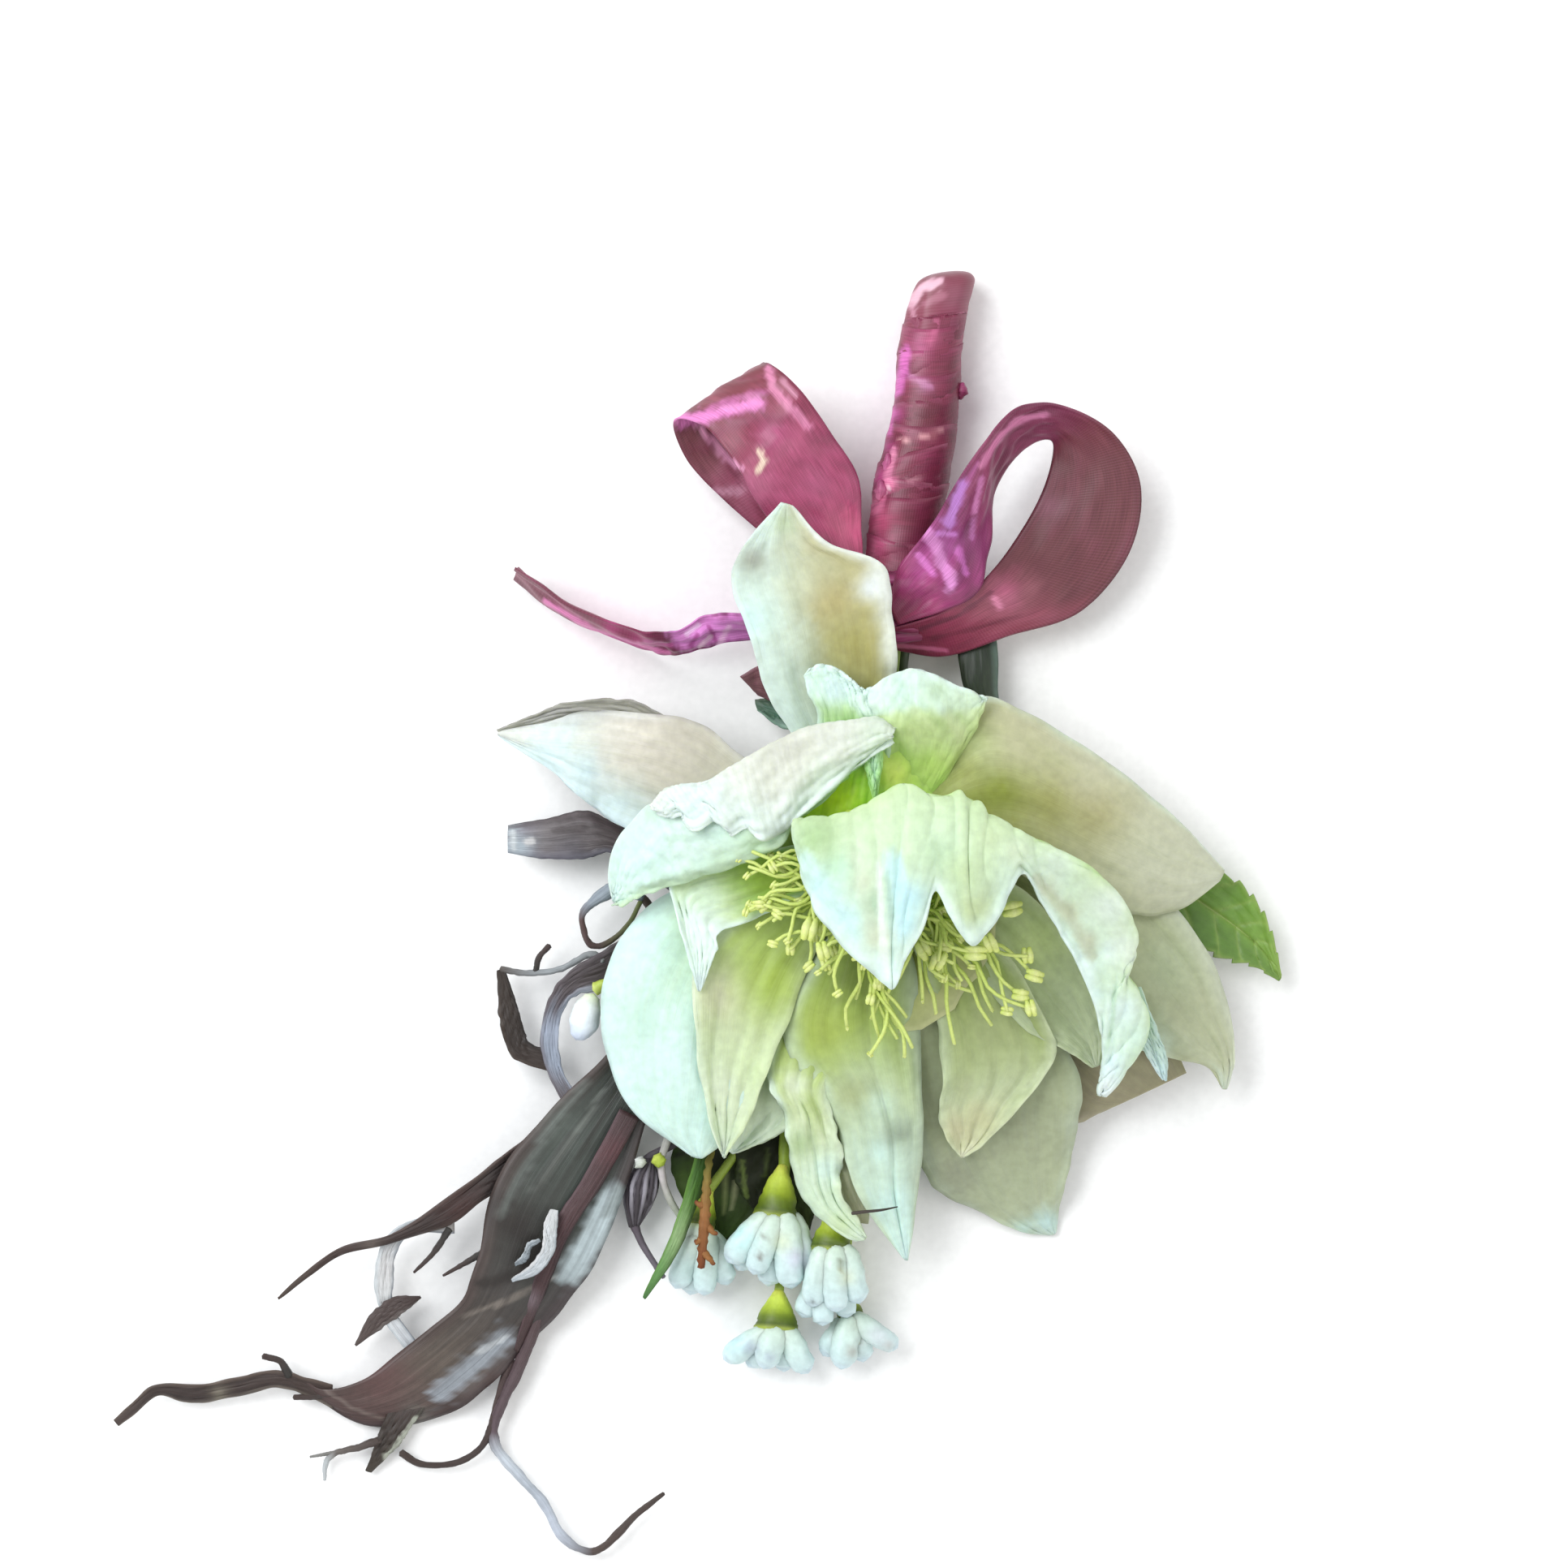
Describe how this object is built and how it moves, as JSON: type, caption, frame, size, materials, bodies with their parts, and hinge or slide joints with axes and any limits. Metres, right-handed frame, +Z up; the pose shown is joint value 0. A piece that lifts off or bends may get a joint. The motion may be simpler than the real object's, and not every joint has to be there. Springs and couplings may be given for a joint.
{
  "type": "wrist corsage",
  "caption": "Wrist corsage lying on its back: a double white bloom, white bell florets, a dried sprig and a leaf, with wine satin ribbon round the stems, tied in a bow.",
  "frame": {"origin": "the level spot under the knot of the bow, on the surface that the corsage lies on", "axes": "+Y along the ribboned stems, from the knot to the end of the handle; the bloom lies towards -Y; +Z up, the way the bloom faces; +X to the right seen from above with the handle pointing away"},
  "size_m": [0.1463, 0.1607, 0.0316],
  "materials": {
    "petal_white": "soft satin of a fresh petal",
    "stamen_yellow": "matte",
    "ribbon_wine": "satin weave",
    "stem_green": "satin",
    "leaf_green": "waxy satin",
    "foliage_brown": "dry, matte",
    "floret_white": "soft satin of a fresh petal",
    "sprig_olive": "matte"
  },
  "bodies": {
    "root": {"bloom_petals": "petal_white", "bloom_stamens": "stamen_yellow", "bloom_stem": "stem_green", "dried_sprig": "foliage_brown", "filler_sprig": "sprig_olive", "floret_far_left": "floret_white", "floret_left": "floret_white", "floret_low_left": "floret_white", "floret_low_right": "floret_white", "floret_right": "floret_white", "floret_sprig": "stem_green", "green_leaf": "leaf_green", "handle_wrap": "ribbon_wine", "ribbon_bow": "ribbon_wine", "side_bud": "floret_white"}
  },
  "joints": []
}
